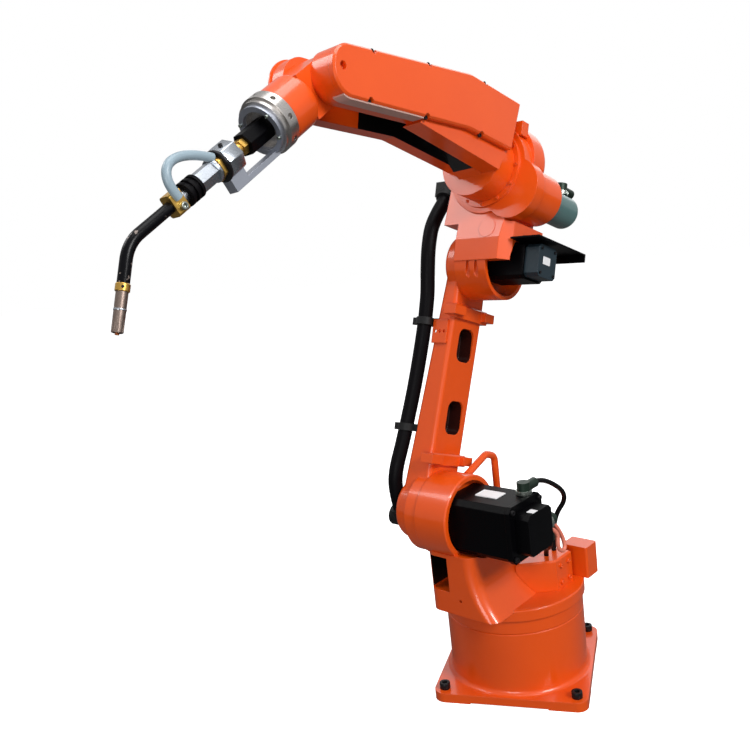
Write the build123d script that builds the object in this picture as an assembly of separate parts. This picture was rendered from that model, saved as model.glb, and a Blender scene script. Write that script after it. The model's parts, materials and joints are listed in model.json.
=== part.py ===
from build123d import *
import os

# Six-axis welding robot arm. Millimetres, +Z up.
# Origin: middle of the base plate's underside.
# Each link is drawn in its own frame and then set at its rest angles.
# Link frames: x points forward, y to the motor side, z up along the link.

# Link lengths between joint axes
shoulder_reach = 147.0
shoulder_height = 463.0
lower_arm_length = 608.0
elbow_offset = 212.0
forearm_length = 641.0
flange_reach = 176.0

# Rest angles in degrees
swing_rest = 65.6
lean_rest = -19.9
forearm_tilt_rest = 18.9
roll_rest = 4.1
wrist_tilt_rest = 47.0

# Clearances and cutting allowance
joint_gap = 0.3
shaft_clearance = 0.05
running_gap = 6.0
over_cut = 1.0

# Base
plate_side = 372.0
plate_thickness = 24.0
plate_corner = 28.0
pad_relief = 3.0
pad_length = 92.0
bolt_spacing = 320.0
bolt_hole_radius = 9.0
column_radius = 172.0
base_height = 183.0
foot_fillet = 12.0
seam_chamfer = 3.0
pilot_depth = 40.0
swing_pilot_radius = 60.0

# Turret
turret_radius = 172.0
turret_lip_radius = 178.0
turret_lip_height = 28.0
turret_height = 63.0
lip_fillet = 4.0
pedestal_front = 222.0
pedestal_back = -50.0
pedestal_side_low = 102.0
pedestal_side_middle = 62.0
pedestal_side_high = 50.0
pedestal_back_middle = 20.0
pedestal_back_high = 62.0
pedestal_middle_height = 62.0
pedestal_corner = 28.0
window_width = 52.0
window_height = 86.0
window_drop = 10.0
window_side = 24.0
window_depth = 90.0
drum_radius = 101.0
drum_outer = 3.0
arm_plane = -88.0
drum_wall = 13.0
drum_recess = 24.0
lean_pilot_radius = 45.0
drum_rim_chamfer = 3.0
datum_hole_radius = 4.0
datum_hole_height = 34.0

# Shoulder motor
motor_side = 130.0
motor_corner = 12.0
motor_end = 159.0
motor_flange_side = 134.0
motor_flange_depth = 12.0
encoder_side = 96.0
encoder_corner = 10.0
encoder_length = 36.0
plug_radius = 15.0
plug_height = 28.0
plug_setback = 34.0
plug_inset = 24.0
boot_radius = 12.0
boot_length = 46.0
boot_inset = 15.0
cable_radius = 6.0
cable_drop = 40.0
cable_swing = 36.0

# Turret fittings
junction_height = 78.0
junction_back = -64.0
junction_middle = 8.0
junction_nose = 72.0
junction_inner = 64.0
junction_outer = 138.0
junction_chamfer = 4.0
connector_box_back = -138.0
connector_box_length = 52.0
connector_box_inner = 100.0
connector_box_depth = 68.0
connector_box_height = 80.0
connector_box_fillet = 5.0
hoop_rod_radius = 9.0
hoop_plane = -30.0
hoop_bend = 20.0
hoop_foot_setback = 42.0
hoop_rise = 14.0
hoop_crown = 34.0
hoop_heel = 160.0
hoop_boss_width = 40.0
hoop_boss_height = 36.0

# Lower arm
arm_outer = -172.0
arm_outer_high = -104.0
elbow_plane = -68.0
arm_front = 60.0
arm_back = -57.0
arm_straight = 112.0
arm_hub_radius = 98.0
arm_hub_depth = 34.0
arm_cap_radius = 76.0
arm_top_radius = 78.0
arm_edge = 10.0
slot_width = 60.0
slot_height = 82.0
slot_depth = 40.0
slot_corner = 20.0
slot_low_share = 0.378
slot_high_share = 0.673
slot_shift = -4.0
low_collar_height = 28.0
high_collar_drop = 138.0
high_collar_height = 34.0
collar_proud = 9.0
collar_side = 7.0
lug_length = 44.0
lug_height = 22.0
lug_proud = 24.0
bracket_width = 44.0
bracket_height = 58.0
bracket_thickness = 5.0
bracket_middle = -104.0
bracket_hole_radius = 4.0
bracket_hole_spacing = 13.0
elbow_pilot_radius = 40.0
elbow_pilot_depth = 30.0

# Hose along the lower arm
hose_radius = 18.0
hose_arc_share = 0.45
clip_wall = 4.0
clip_width = 18.0
clip_low = 195.0
clip_high_drop = 150.0
clip_tab = 18.0
clip_tab_thickness = 8.0
fitting_radius = 25.0
fitting_length = 26.0

# Elbow
elbow_drum_radius = 85.0
elbow_drum_outer = 22.0
elbow_drum_wall = 10.0
elbow_recess = 30.0
elbow_front = 84.0
elbow_left = -112.0
elbow_right = 62.0
block_back = -58.0
shoulder_line = 86.0
brow_right = 80.0
brow_proud = 4.0
housing_set_back = 20.0
brow_line = 47.0
brow_bottom = -5.0
brow_corner = 24.0
brow_hole_radius = 6.0
motor_pocket_radius = 66.0
front_plate_depth = 32.0
front_plate_radius = 105.0
roll_barrel_radius = 100.0
roll_barrel_back = -8.0
roll_barrel_shift = 8.0
roll_barrel_rise = 18.0
barrel_fillet = 18.0
roll_ring_radius = 92.0
roll_ring_proud = 6.0
roll_pilot_radius = 60.0
roll_pilot_depth = 34.0
roll_motor_plate_radius = 70.0
roll_motor_barrel_radius = 62.0
roll_motor_barrel_back = -42.0
roll_motor_y = 74.0
roll_motor_z = 160.0
barrel_chamfer = 5.0
top_lug_width = 20.0
top_lug_height = 33.0
top_lug_root = 32.0
cap_radius = 23.0
cap_proud = 1.0
cap_y = 18.0
cap_z = 71.0

# Elbow and roll motors
elbow_motor_side = 86.0
elbow_motor_corner = 8.0
elbow_motor_end = 100.0
elbow_encoder_side = 76.0
elbow_encoder_length = 37.0
shield_thickness = 4.0
shield_front = 75.0
shield_back = -135.0
shield_end = 157.0
shield_lip = 16.0
roll_motor_radius = 40.0
roll_motor_length = 122.0
roll_motor_fillet = 14.0
roll_plug_share = 0.72

# Forearm
neck_radius = 80.0
neck_front = 150.0
near_inner = 35.0
near_outer = 80.0
cover_outer = 94.5
far_inner = -30.0
far_outer = -64.0
near_end_radius = 47.5
far_end_radius = 61.0
far_cap_overhang = 4.0
knee_share = 0.44
knee_top = 132.0
knee_bottom = 12.0
cover_back_top = 92.0
cover_back_bottom = 122.0
cover_top = 134.0
cover_bottom = 15.0
cover_edge = 4.0
notch_radius = 7.0
notch_front = 0.85
notch_middle = 0.39
notch_back = 0.28
keel_share = 0.671
keel_back = 150.0
keel_front_height = -22.0
keel_back_height = -36.0
far_knee_share = 0.5975
far_knee_bottom = -12.0
far_crown_share = 0.443
far_knee_top = 112.0
far_back = 110.0
far_back_bottom = -17.0
far_back_top = 66.0
knee_fillet = 60.0
back_fillet = 5.0
web_thickness = 12.0
web_inset = 6.0
web_setback = 130.0
root_half = 58.0
root_rise = 40.0
root_toe = 20.0
pitch_pin_radius = 18.0
tip_hole_radius = 8.0
tip_hole_depth = 14.0
far_cap_thickness = 6.0
far_cap_chamfer = 3.0
gasket_thickness = 3.0
gasket_run = 211.0
gasket_overrun = 14.0
gasket_width = 28.0
gasket_depth = 90.0

# Wrist and tool
tongue_radius = 44.0
wrist_back = 70.0
wrist_radius = 52.0
wrist_front = 142.0
wrist_fillet = 8.0
bridge_overlap = 4.0
flange_radius = 55.0
flange_step = 10.0
flange_step_depth = 4.0
flange_recess_radius = 34.0
flange_recess_depth = 10.0
tool_pilot_radius = 28.0
tool_pilot_length = 24.0
flange_hole_radius = 5.0
flange_hole_depth = 8.0
flange_hole_count = 8
torch_plate_radius = 46.0
torch_plate_bore = 36.0
torch_plate_depth = 8.0
torch_body_radius = 22.0
torch_body_length = 58.0
nut_radius = 15.0
nut_length = 12.0
nipple_radius = 11.0
nipple_length = 22.0
ring_radius = 28.0
ring_length = 38.0
ring_chamfer = 2.0
bar_width = 22.0
bar_thickness = 10.0
hex_radius = 19.0
hex_length = 60.0
rubber_collar_radius = 21.0
rubber_collar_length = 30.0
tail_radius = 12.0
tail_length = 10.0
gas_hose_radius = 8.0
gas_hose_lift = 16.0
clamp_length = 26.0
clamp_width = 26.0
clamp_height = 38.0
clamp_fillet = 5.0
neck_tube_radius = 10.0
neck_run = 100.0
neck_bend_angle = 40.7
neck_bend_radius = 70.0
neck_tail = 63.0
nozzle_collar_radius = 11.5
nozzle_collar_length = 13.0
nozzle_collar_chamfer = 1.2
nozzle_radius = 9.5
nozzle_tip_radius = 8.5
nozzle_straight = 38.0
nozzle_length = 63.0
nozzle_wall = 1.5
nozzle_floor = 4.0
tip_radius = 3.5
tip_proud = 3.0


# Shape helpers
def rod_x(radius, start, end, y=0.0, z=0.0):
    return Pos((start + end) / 2, y, z) * Rot(0, 90, 0) * Cylinder(radius, end - start)


def rod_y(radius, start, end, x=0.0, z=0.0):
    return Pos(x, (start + end) / 2, z) * Rot(90, 0, 0) * Cylinder(radius, end - start)


def rod_z(radius, start, end, x=0.0, y=0.0):
    return Pos(x, y, (start + end) / 2) * Cylinder(radius, end - start)


def block(x, y, z):
    middle = Pos((x[0] + x[1]) / 2, (y[0] + y[1]) / 2, (z[0] + z[1]) / 2)
    return middle * Box(x[1] - x[0], y[1] - y[0], z[1] - z[0])


def outline(*points):
    return make_face(Polyline(*points, close=True))


def slab(shape, start, end, x=0.0, z=0.0):
    """Side outline in x and z, given thickness from y start to y end."""
    return Pos(x, end, z) * extrude(Plane.XZ * shape, amount=end - start)


def bar_x(section, start, end):
    """Section in y and z, drawn out along x."""
    return Pos(start, 0, 0) * extrude(Plane.YZ * section, end - start)


def chamfered_square(side, corner):
    return chamfer(Rectangle(side, side).vertices(), corner)


def rims(shape, axis, last):
    """Round edges at one end of a turned shape."""
    return shape.edges().filter_by(GeomType.CIRCLE).group_by(axis)[-1 if last else 0]


def tan_degrees(angle):
    turned = Vector(1, 0, 0).rotate(Axis.Z, angle)
    return turned.Y / turned.X


def tube_path(name, points, radius):
    """Round rod along straight runs with tangent arcs that use a share of the shorter run."""
    runs = [Vector(*b) - Vector(*a) for a, b in zip(points, points[1:])]
    radii = []
    for first, second in zip(runs, runs[1:]):
        shorter = min(first.length, second.length)
        radii.append(hose_arc_share * shorter / tan_degrees(first.get_angle(second) / 2))
    path = FilletPolyline(*points, radius=radii)
    print(name, "bends at", round(min(radii)), "mm or wider")
    return sweep(Plane(path @ 0, z_dir=path % 0) * Circle(radius), path=path)


# Link frames at rest
turret_frame = Rot(0, 0, swing_rest)
lower_frame = turret_frame * Pos(shoulder_reach, 0, shoulder_height) * Rot(0, lean_rest, 0)
elbow_frame = lower_frame * Pos(0, 0, lower_arm_length) * Rot(0, -lean_rest - forearm_tilt_rest, 0)
forearm_frame = elbow_frame * Pos(0, 0, elbow_offset) * Rot(roll_rest, 0, 0)
wrist_frame = forearm_frame * Pos(forearm_length, 0, 0) * Rot(0, wrist_tilt_rest, 0)

turret_top = base_height + turret_height
pedestal_high = shoulder_height - motor_side / 2 - running_gap
front_plate_back = elbow_front - front_plate_depth
roll_ring_front = elbow_front + roll_ring_proud
brow_front = elbow_front + brow_proud
knee_reach = knee_share * forearm_length
far_knee_reach = far_knee_share * forearm_length
far_crown_reach = far_crown_share * forearm_length
keel_front = keel_share * forearm_length


def base_casting():
    column = rod_z(column_radius, 0, base_height)
    body = extrude(RectangleRounded(plate_side, plate_side, plate_corner), plate_thickness) + column
    widest = body.edges().filter_by(GeomType.CIRCLE).group_by(SortBy.RADIUS)[-1]
    body = fillet(widest.group_by(Axis.Z)[0], foot_fillet)
    body = chamfer(rims(body, Axis.Z, True), seam_chamfer)
    relief = plate_side - 2 * pad_length
    for turn in range(4):
        notch = block((plate_side / 2 - pad_length / 2, plate_side), (-relief / 2, relief / 2),
                      (-over_cut, pad_relief))
        body -= Rot(0, 0, 90 * turn) * notch
    for place in GridLocations(bolt_spacing, bolt_spacing, 2, 2):
        body -= place * rod_z(bolt_hole_radius, -over_cut, plate_thickness + over_cut)
    return body - rod_z(swing_pilot_radius + shaft_clearance, base_height - pilot_depth,
                        base_height + over_cut)


def pedestal_section(height, back, side):
    """Level section of the pedestal, from back to front and from the arm's plane to the motor side."""
    shape = RectangleRounded(pedestal_front - back, side - arm_plane, pedestal_corner)
    return Pos((pedestal_front + back) / 2, (side + arm_plane) / 2, height) * shape


def hoop_x(setback):
    return shoulder_reach - setback


def turret_casting():
    bottom = base_height + joint_gap
    disc = rod_z(turret_radius, bottom, turret_top)
    disc += rod_z(turret_lip_radius, turret_top - turret_lip_height, turret_top)
    disc = fillet(rims(disc, Axis.Z, True), lip_fillet)
    disc += rod_z(swing_pilot_radius, base_height - pilot_depth + joint_gap, bottom)
    body = disc + loft([
        pedestal_section(turret_top - lip_fillet, pedestal_back, pedestal_side_low),
        pedestal_section(turret_top + pedestal_middle_height, pedestal_back_middle, pedestal_side_middle),
        pedestal_section(pedestal_high, pedestal_back_high, pedestal_side_high)])
    drum = rod_y(drum_radius, arm_plane, drum_outer, shoulder_reach, shoulder_height)
    body += chamfer(rims(drum, Axis.Y, True), drum_rim_chamfer)
    boss = (hoop_plane - hoop_boss_width / 2, hoop_plane + hoop_boss_width / 2)
    heel_back = hoop_x(hoop_heel) - 2 * hoop_rod_radius
    body += block((heel_back, shoulder_reach), boss,
                  (pedestal_high - hoop_boss_height, pedestal_high + hoop_boss_height))
    body -= rod_y(drum_radius - drum_wall, drum_outer - drum_recess, motor_end,
                  shoulder_reach, shoulder_height)
    body -= rod_y(lean_pilot_radius + shaft_clearance, arm_plane - over_cut, arm_plane + pilot_depth,
                  shoulder_reach, shoulder_height)
    window_top = pedestal_high - window_drop
    body -= block((pedestal_front - window_depth, pedestal_front + over_cut),
                  (-window_side - window_width, -window_side), (window_top - window_height, window_top))
    datum = rod_x(datum_hole_radius, pedestal_front - pedestal_corner, pedestal_front + over_cut,
                  pedestal_side_middle - 2 * pedestal_corner, turret_top + datum_hole_height)
    return body - datum


def lifting_hoop():
    top = shoulder_height + drum_radius
    points = [(hoop_x(hoop_foot_setback), hoop_plane, top - hoop_rise),
              (hoop_x(hoop_heel - hoop_crown), hoop_plane, top + hoop_rise),
              (hoop_x(hoop_heel), hoop_plane, top),
              (hoop_x(hoop_heel), hoop_plane, pedestal_high + hoop_boss_height)]
    path = FilletPolyline(*points, radius=hoop_bend)
    rod = sweep(Plane(path @ 0, z_dir=path % 0) * Circle(hoop_rod_radius), path=path)
    return rod - rod_y(drum_radius, arm_plane, drum_outer, shoulder_reach, shoulder_height)


def shoulder_motor():
    flange_start = drum_outer - drum_recess
    body = slab(chamfered_square(motor_side, motor_corner), flange_start, motor_end,
                shoulder_reach, shoulder_height)
    rear = slab(chamfered_square(motor_flange_side, motor_corner), motor_end - motor_flange_depth, motor_end,
                shoulder_reach, shoulder_height)
    return body + rear


def shoulder_encoder():
    section = chamfered_square(encoder_side, encoder_corner)
    return slab(section, motor_end, motor_end + encoder_length, shoulder_reach, shoulder_height)


plug_x = shoulder_reach - plug_setback
power_plug_y = motor_end - plug_inset
power_plug_z = shoulder_height + motor_flange_side / 2
signal_plug_y = motor_end + encoder_length / 2
signal_plug_x = shoulder_reach - encoder_side / 2


def shoulder_connectors():
    """Two round plugs: one stands on the motor and leads back, one leaves the encoder and turns down."""
    boot_z = power_plug_z + plug_height - boot_inset
    power = rod_z(plug_radius, power_plug_z, power_plug_z + plug_height, plug_x, power_plug_y)
    power += rod_x(boot_radius, plug_x - boot_length, plug_x, power_plug_y, boot_z)
    signal = rod_x(plug_radius, signal_plug_x - plug_height, signal_plug_x, signal_plug_y, shoulder_height)
    boot_x = signal_plug_x - plug_height + boot_inset
    signal += rod_z(boot_radius, shoulder_height - boot_length, shoulder_height, boot_x, signal_plug_y)
    return power + signal


def motor_cables():
    """Two cables from the plugs' boots to the top of the junction block."""
    top = turret_top + junction_height
    landing_y = (junction_inner + junction_outer) / 2
    power_end = junction_back + cable_swing / 2
    boot_z = power_plug_z + plug_height - boot_inset
    boot_x = plug_x - boot_length
    power = tube_path("power cable", [
        (boot_x, power_plug_y, boot_z), (boot_x - cable_swing, power_plug_y, boot_z),
        (power_end - cable_swing, power_plug_y, boot_z - 2 * cable_drop),
        (power_end, landing_y, top + 2 * cable_drop), (power_end, landing_y, top)], cable_radius)
    signal_x = signal_plug_x - plug_height + boot_inset
    signal_end = power_end + cable_swing
    signal_z = shoulder_height - boot_length
    signal = tube_path("signal cable", [
        (signal_x, signal_plug_y, signal_z), (signal_x, signal_plug_y, signal_z - cable_drop / 2),
        (signal_end, landing_y, top + cable_drop / 2), (signal_end, landing_y, top)], cable_radius)
    return power + signal


def junction_block(turret):
    """Cast box under the motor that the cables enter, with a slanting nose."""
    plan = outline((junction_back, junction_inner), (junction_nose, junction_inner),
                   (junction_middle, junction_outer), (junction_back, junction_outer))
    shape = Pos(0, 0, turret_top) * extrude(plan, junction_height)
    return chamfer(shape.edges().group_by(Axis.Z)[-1], junction_chamfer) - turret


def connector_box():
    shape = block((connector_box_back, connector_box_back + connector_box_length),
                  (connector_box_inner, connector_box_inner + connector_box_depth),
                  (turret_top, turret_top + connector_box_height))
    return fillet(shape.edges().filter_by(Axis.Z), connector_box_fillet)


arm_face = arm_plane - joint_gap
elbow_face = elbow_plane - joint_gap
high_collar = lower_arm_length - high_collar_drop
high_straight = lower_arm_length - elbow_drum_radius - 2 * running_gap


def arm_outer_at(height):
    return arm_outer + (arm_outer_high - arm_outer) * height / lower_arm_length


def arm_side_at(height):
    share = (height - arm_straight) / (high_straight - arm_straight)
    return arm_face + (elbow_face - arm_face) * share


def lower_arm_casting():
    section = outline((arm_outer, 0), (arm_face, 0), (arm_face, arm_straight), (elbow_face, high_straight),
                      (elbow_face, lower_arm_length), (arm_outer_high, lower_arm_length))
    shaft = bar_x(section, arm_back, arm_front)
    corners = shaft.edges().filter_by(lambda e: e.length > lower_arm_length / 2)
    shaft = fillet(corners, arm_edge)
    hub = rod_y(arm_hub_radius, arm_face - arm_hub_depth, arm_face)
    hub_cap = rod_y(arm_cap_radius, arm_outer, arm_face)
    hub_cap = fillet(rims(hub_cap, Axis.Y, False), arm_edge)
    head = rod_y(arm_top_radius, arm_outer_high, elbow_face, 0, lower_arm_length)
    head = fillet(rims(head, Axis.Y, False), arm_edge)
    body = shaft + hub + hub_cap + head
    collars = ((arm_straight, low_collar_height), (high_collar, high_collar_height))
    for low, height in collars:
        side = arm_side_at(low + height) + collar_side
        band = block((arm_back - collar_proud, arm_front), (side - 2 * lug_proud, side), (low, low + height))
        body += chamfer(band.edges().filter_by(Axis.X).group_by(Axis.Z)[-1], collar_side / 2)
        lug_z = (low + height / 2 - lug_height / 2, low + height / 2 + lug_height / 2)
        for lug_x in ((arm_front - lug_length / 2, arm_front + lug_length / 2),
                      (arm_back - lug_length / 2, arm_back + lug_length / 3)):
            body += block(lug_x, (side - lug_proud, side + lug_proud / 2), lug_z)
    for share in (slot_low_share, slot_high_share):
        height = share * lower_arm_length
        slot = RectangleRounded(slot_width, slot_height, slot_corner)
        body -= slab(slot, arm_side_at(height) - slot_depth, elbow_face + lug_proud, slot_shift, height)
    body += rod_y(lean_pilot_radius, arm_face - over_cut, arm_plane + pilot_depth - joint_gap)
    return body - rod_y(elbow_pilot_radius + shaft_clearance, elbow_face - elbow_pilot_depth, elbow_plane,
                        0, lower_arm_length)


def arm_bracket_plate():
    top = high_collar - running_gap
    side = (bracket_middle - bracket_width / 2, bracket_middle + bracket_width / 2)
    shape = block((arm_front, arm_front + bracket_thickness), side, (top - bracket_height, top))
    for step in (-1, 0, 1):
        shape -= rod_x(bracket_hole_radius, arm_front - over_cut, arm_front + bracket_thickness + over_cut,
                       bracket_middle + step * bracket_hole_spacing, top - bracket_height / 2)
    return shape


# The hose's lower part is measured from the shoulder, its upper part from the elbow.
top_of_arm = lower_arm_length
hose_low_points = [(29, -194, -5), (56, -194, 39), (69, -188, 87), (63, -182, 150), (59, -178, 205),
                   (58, -168, 295), (64, -156, top_of_arm - 208), (70, -149, top_of_arm - 146),
                   (72, -148, top_of_arm - 124)]
hose_high_points = [(72, -148, top_of_arm - 124), (76, -146, top_of_arm - 80), (88, -144, top_of_arm - 30),
                    (99, -142, top_of_arm + 34), (93, -142, top_of_arm + 98), (50, -146, top_of_arm + 160)]


def hose_clip(height, hose, arm):
    """Band round the hose with a foot on the arm's outer face and a tab outside."""
    nearest = min(hose_low_points, key=lambda point: abs(point[2] - height))
    x, y = nearest[0], nearest[1]
    span = (height - clip_width / 2, height + clip_width / 2)
    band = rod_z(hose_radius + clip_wall, span[0], span[1], x, y)
    foot = block((x - 2 * hose_radius, arm_front), (y, arm_outer_at(height) + clip_tab_thickness), span)
    tab = block((x - clip_tab_thickness / 2, x + clip_tab_thickness / 2),
                (y - hose_radius - clip_tab, y), span)
    return band + foot + tab - hose - arm


def hose_end(end, before):
    """Nut on a hose's end, and the point behind it."""
    along = (end - before).normalized()
    nut = Pos(end + along * (fitting_length / 2)) * Plane((0, 0, 0), z_dir=along).location * Cylinder(
        fitting_radius, fitting_length)
    return nut, end + along * fitting_length


def hose_fitting(hose, arm):
    """Angled fitting on the lower hub that takes the hose's lower end."""
    nut, seat = hose_end(Vector(*hose_low_points[0]), Vector(*hose_low_points[1]))
    return nut + rod_y(fitting_radius, seat.Y - fitting_radius, arm_outer, seat.X, seat.Z) - hose - arm


def leaning_front(height):
    """Reach of the elbow's front at a height: it leans back from the brow up to the roll axis."""
    share = (height - brow_line) / (elbow_offset - brow_line)
    return brow_front - share * (brow_proud + housing_set_back)


def elbow_casting():
    body = rod_y(elbow_drum_radius, elbow_plane, elbow_drum_outer)
    waist = leaning_front(shoulder_line)
    housing = outline((waist, shoulder_line), (leaning_front(elbow_offset), elbow_offset),
                      (roll_motor_barrel_back, elbow_offset), (roll_motor_barrel_back, shoulder_line))
    body += slab(housing, elbow_left, elbow_right)
    brow = outline((brow_front, brow_line), (waist, shoulder_line), (block_back, shoulder_line),
                   (block_back, brow_bottom), (brow_front, brow_bottom))
    brow = slab(brow, elbow_plane, brow_right)
    corner = brow.edges().filter_by(Axis.Z).group_by(Axis.X)[-1].sort_by(Axis.Y)[-1]
    brow = chamfer(corner, brow_corner)
    body += brow
    axis_z = elbow_offset + roll_barrel_rise
    barrel = rod_x(roll_barrel_radius, roll_barrel_back, front_plate_back, roll_barrel_shift, axis_z)
    body += fillet(rims(barrel, Axis.X, False), barrel_fillet)
    body += rod_x(front_plate_radius, front_plate_back - over_cut, elbow_front, 0, elbow_offset)
    body += rod_x(roll_ring_radius, elbow_front - over_cut, roll_ring_front, 0, elbow_offset)
    body += rod_x(roll_motor_plate_radius, front_plate_back, elbow_front, roll_motor_y, roll_motor_z)
    motor_barrel = rod_x(roll_motor_barrel_radius, roll_motor_barrel_back, front_plate_back + over_cut,
                         roll_motor_y, roll_motor_z)
    body += chamfer(rims(motor_barrel, Axis.X, False), barrel_chamfer)
    lug_start = elbow_offset + front_plate_radius - top_lug_root
    body += block((front_plate_back, elbow_front - running_gap),
                  (roll_motor_y - top_lug_width / 2, roll_motor_y + top_lug_width / 2),
                  (lug_start, lug_start + top_lug_height))
    body -= rod_y(elbow_drum_radius - elbow_drum_wall, elbow_drum_outer - elbow_recess, elbow_drum_outer)
    body -= rod_y(motor_pocket_radius, elbow_drum_outer - over_cut, brow_right + over_cut)
    for step in (-1, 0):
        hole_y = cap_y - cap_radius + 4 * brow_hole_radius * step
        body -= rod_z(brow_hole_radius, brow_bottom - elbow_drum_radius / 2, brow_bottom,
                      elbow_drum_radius - brow_hole_radius, hole_y)
    body -= rod_x(roll_pilot_radius + shaft_clearance, roll_ring_front - roll_pilot_depth,
                  roll_ring_front + over_cut, 0, elbow_offset)
    return body + rod_y(elbow_pilot_radius, elbow_plane - elbow_pilot_depth + joint_gap,
                        elbow_plane + over_cut)


def inspection_cap():
    """Thin round cap that lies on the brow's leaning front."""
    top = leaning_front(elbow_offset)
    layer = outline((brow_front, brow_line), (top, elbow_offset), (top + cap_proud, elbow_offset),
                    (brow_front + cap_proud, brow_line))
    disc = rod_x(cap_radius, top, brow_front + cap_proud, cap_y, cap_z)
    return disc & slab(layer, elbow_plane, brow_right)


def elbow_motor():
    section = chamfered_square(elbow_motor_side, elbow_motor_corner)
    return slab(section, elbow_drum_outer - elbow_recess, elbow_motor_end)


def elbow_encoder():
    section = chamfered_square(elbow_encoder_side, elbow_motor_corner)
    return slab(section, elbow_motor_end, elbow_motor_end + elbow_encoder_length)


def motor_shield():
    """Flat guard over the elbow motor, with its rear edge turned down."""
    seat = elbow_motor_side / 2
    plate = block((shield_back, shield_front), (brow_right, shield_end), (seat, seat + shield_thickness))
    lip = block((shield_back, shield_back + shield_thickness), (brow_right, shield_end),
                (seat - shield_lip, seat))
    return plate + lip


roll_motor_back = roll_motor_barrel_back - roll_motor_length


def roll_motor():
    shape = rod_x(roll_motor_radius, roll_motor_back, roll_motor_barrel_back, roll_motor_y, roll_motor_z)
    return fillet(rims(shape, Axis.X, False), roll_motor_fillet)


def roll_connector(motor):
    middle = roll_motor_barrel_back - roll_plug_share * roll_motor_length
    top = roll_motor_z + roll_motor_radius + plug_height
    post = rod_z(plug_radius, roll_motor_z, top, middle, roll_motor_y)
    boot = rod_x(boot_radius, middle - boot_length, middle, roll_motor_y, top - boot_inset)
    return post + boot - motor


def lower_to_elbow(point):
    place = elbow_frame.inverse() * lower_frame * Pos(*point)
    return place.position


def hose_gland(elbow):
    """Bracket on the elbow's outer side with the gland that takes the hose's upper end."""
    nut, seat = hose_end(lower_to_elbow(hose_high_points[-1]), lower_to_elbow(hose_high_points[-2]))
    box = block((seat.X - fitting_radius, seat.X + fitting_radius), (seat.Y - fitting_radius, elbow_left),
                (seat.Z - fitting_radius / 2, seat.Z + fitting_radius))
    return nut + box - elbow


def cranked_outline(end_radius, low_knee, high_knee, low_back, high_back):
    """Side outline of a cranked arm: round front end at the pitch axis, bent at the knee, square back."""
    front = Vector(forearm_length, 0)
    along = (front - (Vector(*low_knee) + Vector(*high_knee)) / 2).normalized()
    across = along.rotate(Axis.Z, 90)
    tip = front + along * end_radius
    shape = outline(low_back, low_knee, tip - across * end_radius, tip + across * end_radius,
                    high_knee, high_back)
    front_share = 0.97
    shape = fillet(shape.vertices().sort_by(Axis.X)[-2:], end_radius * front_share)
    shape = fillet(shape.vertices().sort_by(Axis.X)[2:4], knee_fillet)
    return fillet(shape.vertices().sort_by(Axis.X)[:2], back_fillet)


def near_outline(margin=0.0):
    return cranked_outline(near_end_radius + margin, (knee_reach, knee_bottom - margin),
                           (knee_reach, knee_top + margin), (cover_back_bottom, cover_bottom),
                           (cover_back_top, cover_top))


def forearm_casting():
    seat = roll_ring_front + joint_gap
    neck = rod_x(neck_radius, seat, neck_front)
    keel = outline((cover_back_bottom, cover_bottom), (keel_back, keel_back_height),
                   (keel_front, keel_front_height), (knee_reach, knee_top - knee_bottom))
    near = slab(near_outline() + keel, near_inner, near_outer)
    far = slab(cranked_outline(far_end_radius - far_cap_overhang, (far_knee_reach, far_knee_bottom),
                               (far_crown_reach, far_knee_top), (far_back, far_back_bottom),
                               (far_back, far_back_top)),
               far_outer, far_inner)
    crown = far_knee_top - web_inset
    web_end = forearm_length - web_setback
    web_share = (web_end - far_crown_reach) / (forearm_length - far_crown_reach)
    web_top = (1 - web_share) * crown + web_share * (near_end_radius - web_inset)
    root = outline((far_back, root_half), (far_crown_reach, crown), (web_end, web_top),
                   (web_end, web_top - web_thickness), (far_crown_reach, crown - web_thickness),
                   (far_crown_reach - root_rise, root_rise / 2), (neck_front + root_toe, -root_half / 2),
                   (far_back, -root_half))
    body = neck + near + far + slab(root, far_inner, near_inner)
    body += rod_x(roll_pilot_radius, roll_ring_front - roll_pilot_depth + joint_gap, seat + over_cut)
    return body - rod_y(pitch_pin_radius + shaft_clearance, far_outer - over_cut, near_outer + over_cut,
                        forearm_length)


def on_edge(start, end, share):
    return (start[0] + (end[0] - start[0]) * share, start[1] + (end[1] - start[1]) * share)


def belt_cover():
    """Banana-shaped cover with screw notches along its edges and a hole near its tip."""
    cover = slab(near_outline(), near_outer, cover_outer)
    cover = chamfer(cover.faces().sort_by(Axis.Y)[-1].edges(), cover_edge)
    front_top = (forearm_length, near_end_radius)
    front_low = (forearm_length, -near_end_radius)
    knee_high = (knee_reach, knee_top)
    knee_low = (knee_reach, knee_bottom)
    places = []
    for knee, front, back in ((knee_high, front_top, (cover_back_top, cover_top)),
                              (knee_low, front_low, (cover_back_bottom, cover_bottom))):
        places += [on_edge(knee, front, notch_front), on_edge(knee, front, notch_middle)]
        places.append(on_edge(knee, back, notch_back))
    for x, z in places:
        cover -= rod_y(notch_radius, near_outer + cover_edge, cover_outer + over_cut, x, z)
    return cover - rod_y(tip_hole_radius, cover_outer - tip_hole_depth + cover_edge, cover_outer + over_cut,
                         forearm_length + near_end_radius / 2)


def cover_gasket():
    """Pale sealing strip under the front half of the cover's lower edge."""
    strip = near_outline(gasket_thickness) - near_outline()
    below = -2 * near_end_radius
    back = forearm_length - gasket_run
    front = forearm_length + gasket_overrun
    stretch = outline((back, 0), (front, 0), (front, below), (back, below))
    return slab(strip & stretch, gasket_depth - gasket_width, gasket_depth)


def far_cap():
    shape = rod_y(far_end_radius, far_outer - far_cap_thickness, far_outer, forearm_length)
    return chamfer(rims(shape, Axis.Y, False), far_cap_chamfer)


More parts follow.
